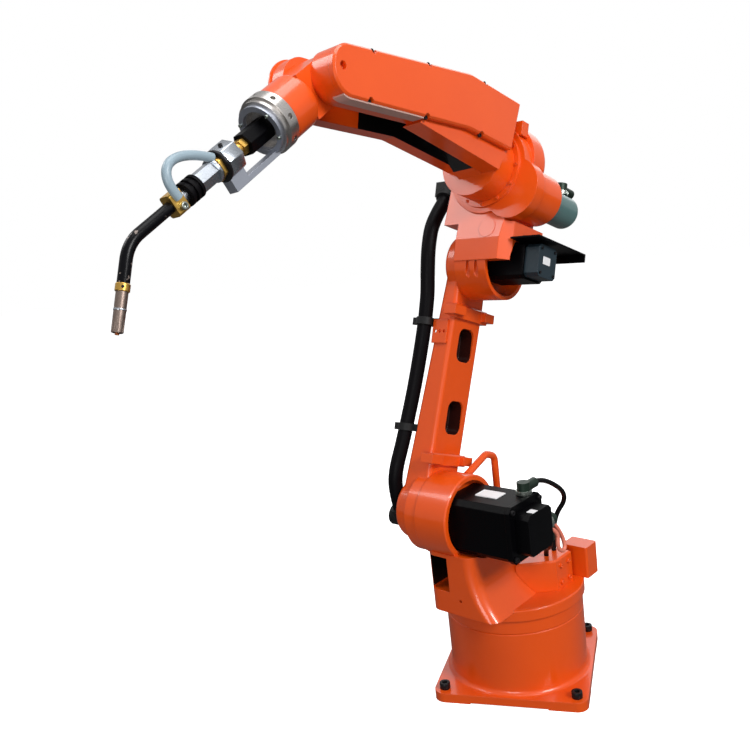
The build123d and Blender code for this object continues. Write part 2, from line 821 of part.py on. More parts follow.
def wrist_casting():
    inner = (far_inner + joint_gap, near_inner - joint_gap)
    tongue = rod_y(tongue_radius, inner[0], inner[1])
    bridge = block((0, wrist_back + bridge_overlap), inner, (-tongue_radius, tongue_radius))
    cylinder = rod_x(wrist_radius, wrist_back, wrist_front)
    cylinder = fillet(rims(cylinder, Axis.X, False), wrist_fillet)
    body = tongue + bridge + cylinder + rod_y(pitch_pin_radius, far_outer, near_outer)
    return body - rod_x(tool_pilot_radius + shaft_clearance, wrist_front - tool_pilot_length,
                        wrist_front + over_cut)


def tool_flange():
    start = wrist_front + joint_gap
    body = rod_x(flange_radius, start, flange_reach - flange_step)
    body += rod_x(flange_radius - flange_step_depth, flange_reach - flange_step - over_cut, flange_reach)
    body += rod_x(tool_pilot_radius, wrist_front - tool_pilot_length + joint_gap, start + over_cut)
    body -= rod_x(flange_recess_radius, flange_reach - flange_recess_depth, flange_reach + over_cut)
    middle = (start + flange_reach - flange_step) / 2
    for turn in range(flange_hole_count):
        hole = rod_z(flange_hole_radius, flange_radius - flange_hole_depth, flange_radius + over_cut, middle)
        body -= Rot(360 / flange_hole_count * turn, 0, 0) * hole
    return body


# Stations of the torch along the tool axis
plate_front = flange_reach + torch_plate_depth
body_front = flange_reach + torch_body_length
nut_front = body_front + nut_length
ring_back = nut_front + nipple_length
ring_front = ring_back + ring_length
hex_front = ring_front + hex_length
collar_front = hex_front + rubber_collar_length
tail_front = collar_front + tail_length
clamp_front = tail_front + clamp_length
neck_knee = clamp_front + neck_run


def torch_plate():
    return rod_x(torch_plate_radius, flange_reach, plate_front) - rod_x(
        torch_plate_bore, flange_reach - over_cut, plate_front + over_cut)


def torch_body():
    return bar_x(RegularPolygon(torch_body_radius, 6), flange_reach - flange_recess_depth, body_front)


def torch_nuts():
    nut = bar_x(RegularPolygon(nut_radius, 6), body_front, nut_front)
    return nut + rod_x(nipple_radius, nut_front - over_cut, ring_back)


def clamp_ring():
    body = rod_x(ring_radius, ring_back, ring_front)
    return chamfer(body.edges().filter_by(GeomType.CIRCLE), ring_chamfer)


def torch_bracket(ring, plate):
    """Flat bar from the torch plate along the torch, with a toe under the clamp ring."""
    half = bar_width / 2
    low = -torch_plate_radius - bar_thickness / 2
    bar = block((flange_reach, ring_front), (-half, half), (low, low + bar_thickness))
    toe = block((ring_back, ring_front), (-half, half), (low, -ring_radius / 2))
    return bar + toe - ring - plate


def torch_barrel():
    body = bar_x(RegularPolygon(hex_radius, 6), ring_front, hex_front)
    return body + rod_x(tail_radius, hex_front - over_cut, tail_front)


def barrel_collar():
    """Ribbed rubber collar between the barrel and the neck clamp."""
    collar = rod_x(rubber_collar_radius, hex_front, collar_front)
    rib = rubber_collar_length / 5
    for step in (1, 3):
        groove = rod_x(rubber_collar_radius + over_cut, hex_front + step * rib, hex_front + (step + 1) * rib)
        collar -= groove - rod_x(rubber_collar_radius - rib / 2, hex_front, collar_front)
    return collar - rod_x(tail_radius, hex_front - over_cut, collar_front + over_cut)


def gas_hose(ring, clamp):
    """Small arch of hose from the clamp ring's front edge to the top of the neck clamp."""
    crown = ring_radius + gas_hose_lift
    start = ring_front - ring_length / 4
    tube = tube_path("gas hose", [
        (start, 0, ring_radius), (ring_front + hex_length / 2, 0, crown),
        (collar_front - gas_hose_radius, gas_hose_radius, crown - gas_hose_radius / 2),
        (clamp_front - gas_hose_radius, 0, clamp_height / 4)], gas_hose_radius)
    return tube - ring - clamp


def neck_clamp():
    body = block((tail_front, clamp_front), (-clamp_width / 2, clamp_width / 2),
                 (-clamp_height / 2, clamp_height / 2))
    return fillet(body.edges().filter_by(Axis.X), clamp_fillet)


def neck_line():
    """Centre line of the swan neck in the wrist frame: start, knee, end and the direction of its last run."""
    along = Vector(1, 0, 0).rotate(Axis.Y, neck_bend_angle)
    knee = Vector(neck_knee, 0, 0)
    return Vector(clamp_front, 0, 0), knee, knee + along * neck_tail, along


def gooseneck():
    start, knee, end, along = neck_line()
    path = FilletPolyline(start, knee, end, radius=neck_bend_radius)
    return sweep(Plane(path @ 0, z_dir=path % 0) * Circle(neck_tube_radius), path=path)


def on_neck(offset, shape):
    """Set a round piece, drawn along z, on the swan neck's end."""
    end, along = neck_line()[2:]
    return Pos(end + along * offset) * Plane((0, 0, 0), z_dir=along).location * shape


def nozzle_collar():
    ring = rod_z(nozzle_collar_radius, 0, nozzle_collar_length)
    return on_neck(0, chamfer(ring.edges().filter_by(GeomType.CIRCLE), nozzle_collar_chamfer))


def nozzle():
    taper = nozzle_length - nozzle_straight
    outer = rod_z(nozzle_radius, 0, nozzle_straight)
    outer += Pos(0, 0, nozzle_straight + taper / 2) * Cone(nozzle_radius, nozzle_tip_radius, taper)
    bore = rod_z(nozzle_tip_radius - nozzle_wall, nozzle_floor, nozzle_length + over_cut)
    return on_neck(nozzle_collar_length, outer - bore)


def contact_tip():
    rod = rod_z(tip_radius, 0, nozzle_length - nozzle_floor + tip_proud)
    return on_neck(nozzle_collar_length + nozzle_floor, rod)


turret = turret_casting()
arm = lower_arm_casting()
low_hose = tube_path("lower hose", hose_low_points, hose_radius)
high_hose = tube_path("upper hose", hose_high_points, hose_radius)
elbow = elbow_casting()
roll_housing = roll_motor()
ring = clamp_ring()
plate = torch_plate()
clamp = neck_clamp()

links = {
    Location(): {"base_casting": base_casting()},
    turret_frame: {
        "turret_casting": turret, "lifting_hoop": lifting_hoop(), "shoulder_motor": shoulder_motor(),
        "shoulder_encoder": shoulder_encoder(), "shoulder_connectors": shoulder_connectors(),
        "motor_cables": motor_cables(), "junction_block": junction_block(turret),
        "connector_box": connector_box()},
    lower_frame: {
        "lower_arm_casting": arm, "arm_bracket_plate": arm_bracket_plate(),
        "hose_lower": low_hose, "hose_upper": high_hose, "hose_fitting": hose_fitting(low_hose, arm),
        "hose_clip_lower": hose_clip(clip_low, low_hose, arm),
        "hose_clip_upper": hose_clip(lower_arm_length - clip_high_drop, low_hose, arm)},
    elbow_frame: {
        "elbow_casting": elbow, "inspection_cap": inspection_cap(), "elbow_motor": elbow_motor(),
        "elbow_encoder": elbow_encoder(), "motor_shield": motor_shield(), "roll_motor": roll_housing,
        "roll_connector": roll_connector(roll_housing), "hose_gland": hose_gland(elbow)},
    forearm_frame: {
        "forearm_casting": forearm_casting(), "belt_cover": belt_cover(), "cover_gasket": cover_gasket(),
        "far_cap": far_cap()},
    wrist_frame: {
        "wrist_casting": wrist_casting(), "tool_flange": tool_flange(), "torch_plate": plate,
        "torch_body": torch_body(), "torch_nuts": torch_nuts(), "clamp_ring": ring,
        "torch_bracket": torch_bracket(ring, plate), "torch_barrel": torch_barrel(),
        "barrel_collar": barrel_collar(),
        "gas_hose": gas_hose(ring, clamp), "neck_clamp": clamp, "gooseneck": gooseneck(),
        "nozzle_collar": nozzle_collar(), "nozzle": nozzle(), "contact_tip": contact_tip()},
}

os.makedirs("parts", exist_ok=True)
for frame, pieces in links.items():
    for name, shape in pieces.items():
        export_step(frame * shape, f"parts/{name}.step")
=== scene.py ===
import bpy
import json
from math import cos, radians, sin
from mathutils import Matrix, Vector


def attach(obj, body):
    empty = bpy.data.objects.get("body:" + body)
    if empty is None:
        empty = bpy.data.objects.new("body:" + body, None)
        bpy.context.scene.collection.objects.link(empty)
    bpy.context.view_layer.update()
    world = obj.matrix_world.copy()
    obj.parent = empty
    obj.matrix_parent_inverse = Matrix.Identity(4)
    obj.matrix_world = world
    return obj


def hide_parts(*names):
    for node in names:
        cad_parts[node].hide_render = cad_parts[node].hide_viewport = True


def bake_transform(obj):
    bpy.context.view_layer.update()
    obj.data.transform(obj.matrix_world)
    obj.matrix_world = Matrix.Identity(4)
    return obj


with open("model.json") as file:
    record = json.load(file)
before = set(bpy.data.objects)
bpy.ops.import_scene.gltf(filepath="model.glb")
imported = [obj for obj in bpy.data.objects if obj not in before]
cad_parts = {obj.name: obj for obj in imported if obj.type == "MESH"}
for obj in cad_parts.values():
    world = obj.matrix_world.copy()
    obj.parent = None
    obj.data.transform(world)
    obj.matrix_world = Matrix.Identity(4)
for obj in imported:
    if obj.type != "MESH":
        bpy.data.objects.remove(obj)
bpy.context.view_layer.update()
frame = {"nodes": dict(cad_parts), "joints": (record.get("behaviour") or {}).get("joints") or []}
mm = 0.001


# Studio: a sheet of matt white paper under the robot, which runs on into a plain white backdrop.
# Five soft boxes light the robot, and the pale room is mirrored faintly in its paint.
def rgb(code):
    """Linear colour from an sRGB hex value."""
    parts = [int(code[i:i + 2], 16) / 255 for i in (0, 2, 4)]
    return tuple(p / 12.92 if p <= 0.04045 else ((p + 0.055) / 1.055) ** 2.4 for p in parts) + (1.0,)


def add(tree, kind, inputs=None, **settings):
    """Adds a node with its settings, and with its inputs given as values or as other nodes' sockets."""
    made = tree.nodes.new(kind)
    for name, value in settings.items():
        setattr(made, name, value)
    for name, value in (inputs or {}).items():
        if isinstance(value, bpy.types.NodeSocket):
            tree.links.new(value, made.inputs[name])
        else:
            made.inputs[name].default_value = value
    return made


def blank_material(name):
    made = bpy.data.materials.new(name)
    made.use_nodes = True
    made.node_tree.nodes.clear()
    return made, made.node_tree


scene = bpy.context.scene
scene.view_settings.view_transform = "Standard"

# Lit paper is an even white to the eye, and throws only a little light back at the robot.
paper_white = rgb("F2F2F2")
paper_bounce = rgb("6E6E6E")
paper_glow = 1.0
paper, tree = blank_material("white_backdrop_paper")
seen = add(tree, "ShaderNodeLightPath")
sheet = add(tree, "ShaderNodeMix", {0: seen.outputs["Is Camera Ray"]}, data_type="RGBA")
sheet.inputs["A"].default_value = paper_bounce
sheet.inputs["B"].default_value = paper_white
lit = add(tree, "ShaderNodeBsdfDiffuse", {"Color": sheet.outputs["Result"]})
glow = add(tree, "ShaderNodeMath", {0: seen.outputs["Is Camera Ray"], 1: paper_glow}, operation="MULTIPLY")
bright = add(tree, "ShaderNodeEmission", {"Strength": glow.outputs[0]})
paper_sum = add(tree, "ShaderNodeAddShader", {0: lit.outputs[0], 1: bright.outputs[0]})
add(tree, "ShaderNodeOutputMaterial", {"Surface": paper_sum.outputs[0]})

floor_side = 24
bpy.ops.object.select_all(action="DESELECT")
bpy.ops.mesh.primitive_plane_add(size=floor_side)
floor = bpy.context.object
floor.name = "studio_floor"
floor.data.materials.append(paper)

room_light = 0.2
room_mirrored = 0.4
world = bpy.data.worlds.new("studio")
world.use_nodes = True
scene.world = world
tree = world.node_tree
tree.nodes.clear()
seen = add(tree, "ShaderNodeLightPath")
mirrored = add(tree, "ShaderNodeMath", {0: seen.outputs["Is Glossy Ray"], 1: room_mirrored},
               operation="MULTIPLY")
straight = add(tree, "ShaderNodeMath", {0: seen.outputs["Is Camera Ray"], 1: mirrored.outputs[0]},
               operation="MAXIMUM")
soft = add(tree, "ShaderNodeBackground", {"Color": rgb("F1F2F5"), "Strength": room_light})
white = add(tree, "ShaderNodeBackground", {"Color": rgb("FFFFFF"), "Strength": 1.0})
mixed = add(tree, "ShaderNodeMixShader", {0: straight.outputs[0], 1: soft.outputs[0], 2: white.outputs[0]})
add(tree, "ShaderNodeOutputWorld", {"Surface": mixed.outputs[0]})


def area_lamp(name, place, size, watts):
    """Square soft box that looks at the middle of the robot. Place and size are in metres."""
    middle = Vector((0, 0, 0.8))
    bpy.ops.object.light_add(type="AREA", location=place)
    lamp = bpy.context.object
    lamp.name = name
    lamp.data.size = size
    lamp.data.energy = watts
    lamp.rotation_euler = (middle - Vector(place)).to_track_quat("-Z", "Y").to_euler()


area_lamp("key_lamp", (-3.4, 2.2, 3.3), size=1.4, watts=165)
area_lamp("top_lamp", (-0.2, 0.5, 3.8), size=1.8, watts=42)
area_lamp("front_lamp", (0.2, 4.6, 0.9), size=1.8, watts=66)
area_lamp("left_lamp", (1.92, 0.55, 2.8), size=0.9, watts=15)
area_lamp("rim_lamp", (0.0, -3.0, 2.6), size=2.8, watts=26)

# Camera: it stands two metres in front of the robot, at the height of the elbow, and looks slightly down.
# Its place, turn and lens were worked out from the base plate and the joint centres in the photograph.
camera_place = Vector((-394.3, 1994.3, 1197.8)) * mm
camera_heading = radians(-19.25)
camera_pitch = radians(10.9)
camera_roll = radians(-6.8)
focal_pixels = 847.7
photo_side_pixels = 750
sensor_width = 36
level = Vector((-sin(camera_heading), -cos(camera_heading), 0))
forward = level * cos(camera_pitch) + Vector((0, 0, -sin(camera_pitch)))
right = forward.cross(Vector((0, 0, 1))).normalized()
up = right.cross(forward)
view_right = right * cos(camera_roll) + up * sin(camera_roll)
view_up = up * cos(camera_roll) - right * sin(camera_roll)
camera = bpy.data.cameras.new("photo_camera")
camera.sensor_width = sensor_width
camera.lens = focal_pixels / photo_side_pixels * sensor_width
camera_object = bpy.data.objects.new("photo_camera", camera)
scene.collection.objects.link(camera_object)
turned = Matrix((view_right, view_up, -forward)).transposed().to_4x4()
camera_object.matrix_world = Matrix.Translation(camera_place) @ turned
scene.camera = camera_object


# Base: an iron casting with a square foot and a round column, under a thick coat of baked orange enamel.
# The foot is bolted down at its corners.
def coat(name, colour, roughness, tint=None, metallic=0.0, edge=2.5, grain=4.0, relief=0.05, gloss=0.0,
         shine=0.4):
    """Painted, moulded or machined surface with softened edges, a fine relief and a slow drift of tone.

    Edge and grain are in millimetres, and the grain is drawn as coarse as it needs to be to show.
    """
    drift_size = 140
    relief_height = 0.3
    smoothest = roughness * 0.8
    roughest = roughness * 1.25
    gloss_roughness = 0.1
    made, tree = blank_material(name)
    place = add(tree, "ShaderNodeTexCoord").outputs["Object"]
    drift = add(tree, "ShaderNodeTexNoise", {"Vector": place, "Scale": 1 / (drift_size * mm), "Detail": 3.0})
    tone = add(tree, "ShaderNodeMix", {"Factor": drift.outputs["Fac"]}, data_type="RGBA")
    tone.inputs["A"].default_value = rgb(colour)
    tone.inputs["B"].default_value = rgb(tint or colour)
    pattern = add(tree, "ShaderNodeTexNoise", {"Vector": place, "Scale": 1 / (grain * mm), "Detail": 2.0})
    rough = add(tree, "ShaderNodeMapRange", {"Value": pattern.outputs["Fac"], "To Min": smoothest,
                                             "To Max": roughest})
    soft_edge = add(tree, "ShaderNodeBevel", {"Radius": edge * mm}, samples=4)
    bump = add(tree, "ShaderNodeBump", {"Height": pattern.outputs["Fac"], "Strength": relief,
                                        "Distance": relief_height * mm,
                                        "Normal": soft_edge.outputs["Normal"]})
    shader = add(tree, "ShaderNodeBsdfPrincipled", {
        "Base Color": tone.outputs["Result"], "Metallic": metallic, "Roughness": rough.outputs["Result"],
        "Specular IOR Level": shine, "Coat Weight": gloss, "Coat Roughness": gloss_roughness,
        "Normal": bump.outputs["Normal"]})
    add(tree, "ShaderNodeOutputMaterial", {"Surface": shader.outputs[0]})
    return made


def dress(material, *nodes):
    for name in nodes:
        slots = frame["nodes"][name].data.materials
        slots.clear()
        slots.append(material)


# Sprayed and baked enamel is a deep, even orange under a gloss, with a faint orange peel.
enamel = coat("orange_baked_enamel", "EA560C", 0.34, tint="E04C08", gloss=0.5)
dress(enamel, "base_casting")

# Anchor bolts: socket screws, one in each corner of the foot, that hold the robot to the floor.
# Cold-forged steel heads, darkened in a hot bath, with a hexagon socket.
anchor_spacing = 320
foot_top = 24
# Hot-blackened steel is nearly black, with a soft metallic sheen.
black_oxide = coat("black_oxide_steel", "1B1A1C", 0.38, tint="242225", metallic=0.6, edge=0.6, grain=1.0)


def apply_modifier(piece, kind, **settings):
    modifier = piece.modifiers.new(kind.lower(), kind)
    for name, value in settings.items():
        setattr(modifier, name, value)
    bpy.context.view_layer.objects.active = piece
    bpy.ops.object.modifier_apply(modifier=modifier.name)


def disc(radius, height, sides=40, lift=0.0):
    """Upright round or many-sided blank, standing on its own z of lift."""
    bpy.ops.object.select_all(action="DESELECT")
    bpy.ops.mesh.primitive_cylinder_add(vertices=sides, radius=radius * mm, depth=height * mm,
                                        location=(0, 0, (lift + height / 2) * mm))
    piece = bpy.context.object
    bpy.ops.object.transform_apply(location=True, rotation=True, scale=True)
    return piece


def ease(piece, width, segments=2):
    """Breaks the sharp edges of a blank and smooths its round faces."""
    sharp_angle = radians(35)
    apply_modifier(piece, "BEVEL", width=width * mm, segments=segments, limit_method="ANGLE")
    bpy.ops.object.select_all(action="DESELECT")
    piece.select_set(True)
    bpy.context.view_layer.objects.active = piece
    bpy.ops.object.shade_smooth_by_angle(angle=sharp_angle)


def cap_screw(head, height, socket):
    """Socket screw's head, its underside on z zero. Head and socket are radii."""
    socket_floor = height * 0.45
    broken_edge = head * 0.1
    screw = disc(head, height)
    hexagon = disc(socket, height, sides=6, lift=socket_floor)
    apply_modifier(screw, "BOOLEAN", operation="DIFFERENCE", object=hexagon)
    bpy.data.objects.remove(hexagon)
    ease(screw, broken_edge)
    return screw


def at(link, place):
    """Point of a link, given in millimetres, in the shared frame."""
    return link @ (Vector(place) * mm)


def fix(pattern, name, link, place, out, body, material):
    """Copy of a modelled piece, set on a link with its own z pointing out of the surface there."""
    copy = pattern.copy()
    copy.data = pattern.data.copy()
    copy.name = name
    scene.collection.objects.link(copy)
    turn = (link.to_3x3() @ Vector(out).to_track_quat("Z", "Y").to_matrix()).to_4x4()
    copy.data.transform(Matrix.Translation(at(link, place)) @ turn)
    copy.data.materials.clear()
    copy.data.materials.append(material)
    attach(copy, body)


def fix_all(pattern, name, link, places, out, body, material):
    """Copies of one modelled piece at several places. The pattern itself is then put away."""
    for number, place in enumerate(places, 1):
        fix(pattern, f"{name}_{number}", link, place, out, body, material)
    bpy.data.objects.remove(pattern)


def fix_one(pattern, name, link, place, out, body, material):
    """The one copy of a modelled piece. The pattern itself is then put away."""
    fix(pattern, name, link, place, out, body, material)
    bpy.data.objects.remove(pattern)


ground = Matrix.Identity(4)
corners = [(x * anchor_spacing / 2, y * anchor_spacing / 2, foot_top) for x in (-1, 1) for y in (-1, 1)]
fix_all(cap_screw(head=13, height=16, socket=7), "anchor_bolt", ground, corners, (0, 0, 1), "base",
        black_oxide)

# Turret: one casting of the round turntable, pedestal and shoulder drum, with painted black shade in its
# window.
# The bent steel lifting hoop, the cast junction block and the connector box wear the same enamel.
# Screws hold the block's front.
joints = {joint["name"]: joint for joint in frame["joints"]}


def joint_place(name):
    return Vector(joints[name]["pos_m"])


def joint_axis(name):
    return Vector(joints[name]["axis"])


def link_frame(origin, forward_axis, side_axis):
    """Matrix of a link in metres: x forward, y to the motor side, z up along the link."""
    x = Vector(forward_axis).normalized()
    z = x.cross(Vector(side_axis)).normalized()
    return Matrix.Translation(Vector(origin)) @ Matrix((x, z.cross(x), z)).transposed().to_4x4()


def recolour(material, share, colour):
    """Lays a second colour over a coat's own, where share is one."""
    tree = material.node_tree
    shader = next(node for node in tree.nodes if node.type == "BSDF_PRINCIPLED")
    tone = shader.inputs["Base Color"].links[0].from_socket
    painted = add(tree, "ShaderNodeMix", {0: share}, data_type="RGBA")
    tree.links.new(tone, painted.inputs["A"])
    painted.inputs["B"].default_value = rgb(colour)
    tree.links.new(painted.outputs["Result"], shader.inputs["Base Color"])


def enamel_with_painted_shade(name, link, boxes, colour, below=2.0):
    """The robot's enamel, with painted shade inside boxes given in a link's millimetres.

    Below is the highest upward part of a face's normal, along the link's z, that still gets painted shade.
    """
    made = enamel.copy()
    made.name = name
    tree = made.node_tree
    inside_out = link.inverted()
    spot = add(tree, "ShaderNodeTexCoord")
    local = add(tree, "ShaderNodeMapping", {"Vector": spot.outputs["Object"]})
    local.inputs["Location"].default_value = inside_out.translation
    local.inputs["Rotation"].default_value = inside_out.to_euler()
    parts = add(tree, "ShaderNodeSeparateXYZ", {0: local.outputs[0]})
    face = add(tree, "ShaderNodeNewGeometry")
    riding = add(tree, "ShaderNodeVectorTransform", {0: face.outputs["True Normal"]}, vector_type="NORMAL",
                 convert_from="WORLD", convert_to="OBJECT")
    upright = add(tree, "ShaderNodeVectorMath", {0: riding.outputs[0]}, operation="DOT_PRODUCT")
    upright.inputs[1].default_value = link.to_3x3() @ Vector((0, 0, 1))
    hidden = add(tree, "ShaderNodeMath", {0: upright.outputs["Value"], 1: below}, operation="LESS_THAN")
    painted_shade_mask = None
    for box in boxes:
        inside = hidden.outputs[0]
        for axis, (low, high) in zip("XYZ", box):
            for limit, test in ((low, "GREATER_THAN"), (high, "LESS_THAN")):
                passed = add(tree, "ShaderNodeMath", {0: parts.outputs[axis], 1: limit * mm}, operation=test)
                both = add(tree, "ShaderNodeMath", {0: inside, 1: passed.outputs[0]}, operation="MULTIPLY")
                inside = both.outputs[0]
        either = add(tree, "ShaderNodeMath", {0: painted_shade_mask or inside, 1: inside}, operation="MAXIMUM")
        painted_shade_mask = either.outputs[0]
    recolour(made, painted_shade_mask, colour)
    return made


side = joint_axis("shoulder_lean")
turret_link = link_frame((0, 0, 0), side.cross(joint_axis("base_swing")), side)
dress(enamel, "lifting_hoop", "junction_block", "connector_box")
window = ((131, 216), (-77, -23), (300, 388))
# Painted black shade fills the window, so dark that its depth can't be made out.
painted_shade_black = "080707"
dress(enamel_with_painted_shade("orange_enamel_painted_shade_window", turret_link, [window], painted_shade_black), "turret_casting")
block_face = 138
block_screws = [(x, block_face, z) for x in (-46, -12) for z in (262, 304)]
fix_all(cap_screw(head=5.5, height=5, socket=3), "block_screw", turret_link, block_screws, (0, 1, 0),
        "turret", enamel)

# Shoulder motor: a servo motor with a die-cast body and encoder cap in black paint, bolted into the drum.
# Screws hold its rear flange, and blank white labels lie on the motor and on the cap.
shoulder_reach = 147
shoulder_height = 463
motor_half = 65
motor_end = 159
motor_screw_spread = 55
encoder_half = 48
# Black motor paint is matt and swallows most of the light.
motor_black = coat("black_motor_paint", "020203", 0.4, tint="040406", grain=2.0, shine=0.07)
dress(motor_black, "shoulder_motor", "shoulder_encoder")
motor_screws = [(shoulder_reach + x * motor_screw_spread, motor_end, shoulder_height + z * motor_screw_spread)
                for x in (-1, 1) for z in (-1, 1)]
fix_all(cap_screw(head=6, height=6, socket=3), "motor_screw", turret_link, motor_screws, (0, 1, 0), "turret",
        black_oxide)

# Printed vinyl is a clean white with a slight sheen.
label_paper = coat("white_vinyl_label", "EDEDEE", 0.45, tint="E6E6E8", edge=0.3, grain=1.0)


def label(name, link, place, size, out, body):
    """Blank printed label: a thin plate with rounded corners."""
    thickness = 0.6
    corner = 2.0
    bpy.ops.object.select_all(action="DESELECT")
    bpy.ops.mesh.primitive_cube_add(size=1, location=(0, 0, thickness / 2 * mm),
                                    scale=(size[0] * mm, size[1] * mm, thickness * mm))
    plate = bpy.context.object
    bpy.ops.object.transform_apply(location=True, rotation=True, scale=True)
    bpy.ops.object.mode_set(mode="EDIT")
    bpy.ops.mesh.select_all(action="DESELECT")
    bpy.ops.object.mode_set(mode="OBJECT")
    for edge in plate.data.edges:
        ends = [plate.data.vertices[v].co for v in edge.vertices]
        edge.select = abs(ends[0].z - ends[1].z) > thickness / 2 * mm
    bpy.ops.object.mode_set(mode="EDIT")
    bpy.ops.mesh.select_mode(type="EDGE")
    bpy.ops.mesh.bevel(offset=corner * mm, segments=4)
    bpy.ops.object.mode_set(mode="OBJECT")
    fix_one(plate, name, link, place, out, body, label_paper)


motor_top = shoulder_height + motor_half
encoder_top = shoulder_height + encoder_half
label("motor_label", turret_link, (146, 65, motor_top), (40, 60), (0, 0, 1), "turret")
label("encoder_label", turret_link, (160, 184, encoder_top), (20, 18), (0, 0, 1), "turret")

# Motor plugs: round bayonet connectors with olive-plated shells, bright coupling rings and rubber boots.
# The shells are turned and knurled, and the coupling rings lock them to the motor.
power_plug = (113, 135, 530)
signal_plug = (99, 177, 463)
# Olive plating is a dark, slightly greenish metal. The plated rings are bright and pale.
olive = coat("olive_plated_shell", "1C2A22", 0.42, tint="25352B", metallic=0.5, edge=1.0, grain=1.5,
             relief=0.2)
dress(olive, "shoulder_connectors")
bright_ring = coat("plated_coupling_ring", "A9AFAA", 0.3, tint="8F978F", metallic=1.0, edge=0.6, grain=1.0)


def knurled_ring(radius, height, sides, depth):
    """Ring whose sides stand out, or sink in, in turn."""
    margin = 0.3
    ring = disc(radius, height, sides)
    bpy.ops.object.mode_set(mode="EDIT")
    bpy.ops.mesh.select_all(action="DESELECT")
    bpy.ops.object.mode_set(mode="OBJECT")
    upright = [face for face in ring.data.polygons if abs(face.normal.z) < 0.5]
    for face in upright[::2]:
        face.select = True
    bpy.ops.object.mode_set(mode="EDIT")
    bpy.ops.mesh.select_mode(type="FACE")
    bpy.ops.mesh.inset(thickness=margin * mm, depth=depth * mm, use_individual=True)
    bpy.ops.object.mode_set(mode="OBJECT")
    return ring


def coupling_ring():
    return knurled_ring(radius=18, height=9, sides=48, depth=0.8)


fix_one(coupling_ring(), "power_plug_ring", turret_link, power_plug, (0, 0, 1), "turret", bright_ring)
fix_one(coupling_ring(), "signal_plug_ring", turret_link, signal_plug, (-1, 0, 0), "turret", bright_ring)

# Motor cables: two round cables in black rubber from the plugs' boots to the top of the junction block.
# Both ends are clamped, so they keep their bends.
cable_radius = 6
power_route = [(67, 135, 543), (31, 135, 543), (-82, 135, 463), (-46, 101, 404), (-46, 101, 324)]
signal_route = [(86, 177, 417), (86, 177, 397), (-10, 101, 344), (-10, 101, 324)]
# Extruded rubber is black with a dull, broad sheen.
cable_rubber = coat("black_cable_rubber", "060607", 0.45, tint="0B0B0C", edge=0.5, grain=3.0, shine=0.15)


def hose(name, link, route, radius, material):
    """Round hose along a route in a link's frame, as one smooth spline made into a closed mesh."""
    round_steps = 6
    length_steps = 16
    merge_distance = 0.01
    cap_angle = radians(40)
    curve = bpy.data.curves.new(name, "CURVE")
    curve.dimensions = "3D"
    curve.bevel_depth = radius * mm
    curve.bevel_resolution = round_steps
    curve.resolution_u = length_steps
    curve.use_fill_caps = True
    spline = curve.splines.new("NURBS")
    spline.points.add(len(route) - 1)
    for point, place in zip(spline.points, route):
        point.co = (*at(link, place), 1.0)
    spline.order_u = 3
    spline.use_endpoint_u = True
    piece = bpy.data.objects.new(name, curve)
    scene.collection.objects.link(piece)
    bpy.ops.object.select_all(action="DESELECT")
    piece.select_set(True)
    bpy.context.view_layer.objects.active = piece
    bpy.ops.object.convert(target="MESH")
    bpy.ops.object.mode_set(mode="EDIT")
    bpy.ops.mesh.select_all(action="SELECT")
    bpy.ops.mesh.remove_doubles(threshold=merge_distance * mm)
    bpy.ops.mesh.normals_make_consistent(inside=False)
    bpy.ops.object.mode_set(mode="OBJECT")
    bpy.ops.object.shade_smooth_by_angle(angle=cap_angle)
    piece.data.materials.clear()
    piece.data.materials.append(material)
    return piece


power_cable = hose("power_cable", turret_link, power_route, cable_radius, cable_rubber)
signal_cable = hose("signal_cable", turret_link, signal_route, cable_radius, cable_rubber)
for cable in (power_cable, signal_cable):
    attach(cable, "turret")
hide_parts("motor_cables")

# Brake lead: a salmon-coloured lead that loops out of the encoder's plug and back into the cap.
# Soft PVC, held at both ends.
lead_radius = 5
lead_route = [(96, 186, 448), (70, 190, 432), (78, 190, 398), (60, 190, 378), (40, 188, 384), (52, 184, 426),
              (72, 180, 452)]
# PVC is an even pink with a soft sheen.
lead_pvc = coat("salmon_pvc_lead", "E88872", 0.4, tint="DD7A64", edge=0.5, grain=3.0)
brake_lead = hose("brake_lead", turret_link, lead_route, lead_radius, lead_pvc)
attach(brake_lead, "turret")

# Lower arm: a tapered aluminium casting with two pockets, its hub on the shoulder and its head at the elbow.
# It and the bracket plate screwed to it wear the robot's enamel, and the pockets get painted dark shade.
arm_line = joint_place("elbow_lift") - joint_place("shoulder_lean")
arm_line -= side * arm_line.dot(side)
lower_link = link_frame(joint_place("shoulder_lean"), side.cross(arm_line), side)
arm_length = arm_line.length / mm
dress(enamel, "arm_bracket_plate")
pocket_width = (-35, 27)
pocket_half = 42
low_pocket = 0.378 * arm_length
high_pocket = 0.673 * arm_length
pockets = [(pocket_width, depth, (height - pocket_half, height + pocket_half))
           for height, depth in ((low_pocket, (-130, -86)), (high_pocket, (-116, -78)))]
# Everything inside the two pockets gets a painted dark shade.
dress(enamel_with_painted_shade("orange_enamel_painted_shade_pockets", lower_link, pockets, "2E0B06"), "lower_arm_casting")

# Umbilical hose: one thick black rubber hose up the outer face of the lower arm, held by two clips.
# It leaves the fitting on the hub and enters the gland on the elbow, and bends above the upper clip.
hose_radius = 18
hose_route = [(29, -194, -5), (56, -194, 39), (69, -188, 87), (63, -182, 150), (59, -178, 205),
              (58, -168, 295), (64, -156, arm_length - 208), (70, -149, arm_length - 146),
              (72, -148, arm_length - 124),
              (76, -146, arm_length - 80), (88, -144, arm_length - 30), (99, -142, arm_length + 34),
              (93, -142, arm_length + 98), (50, -146, arm_length + 160)]
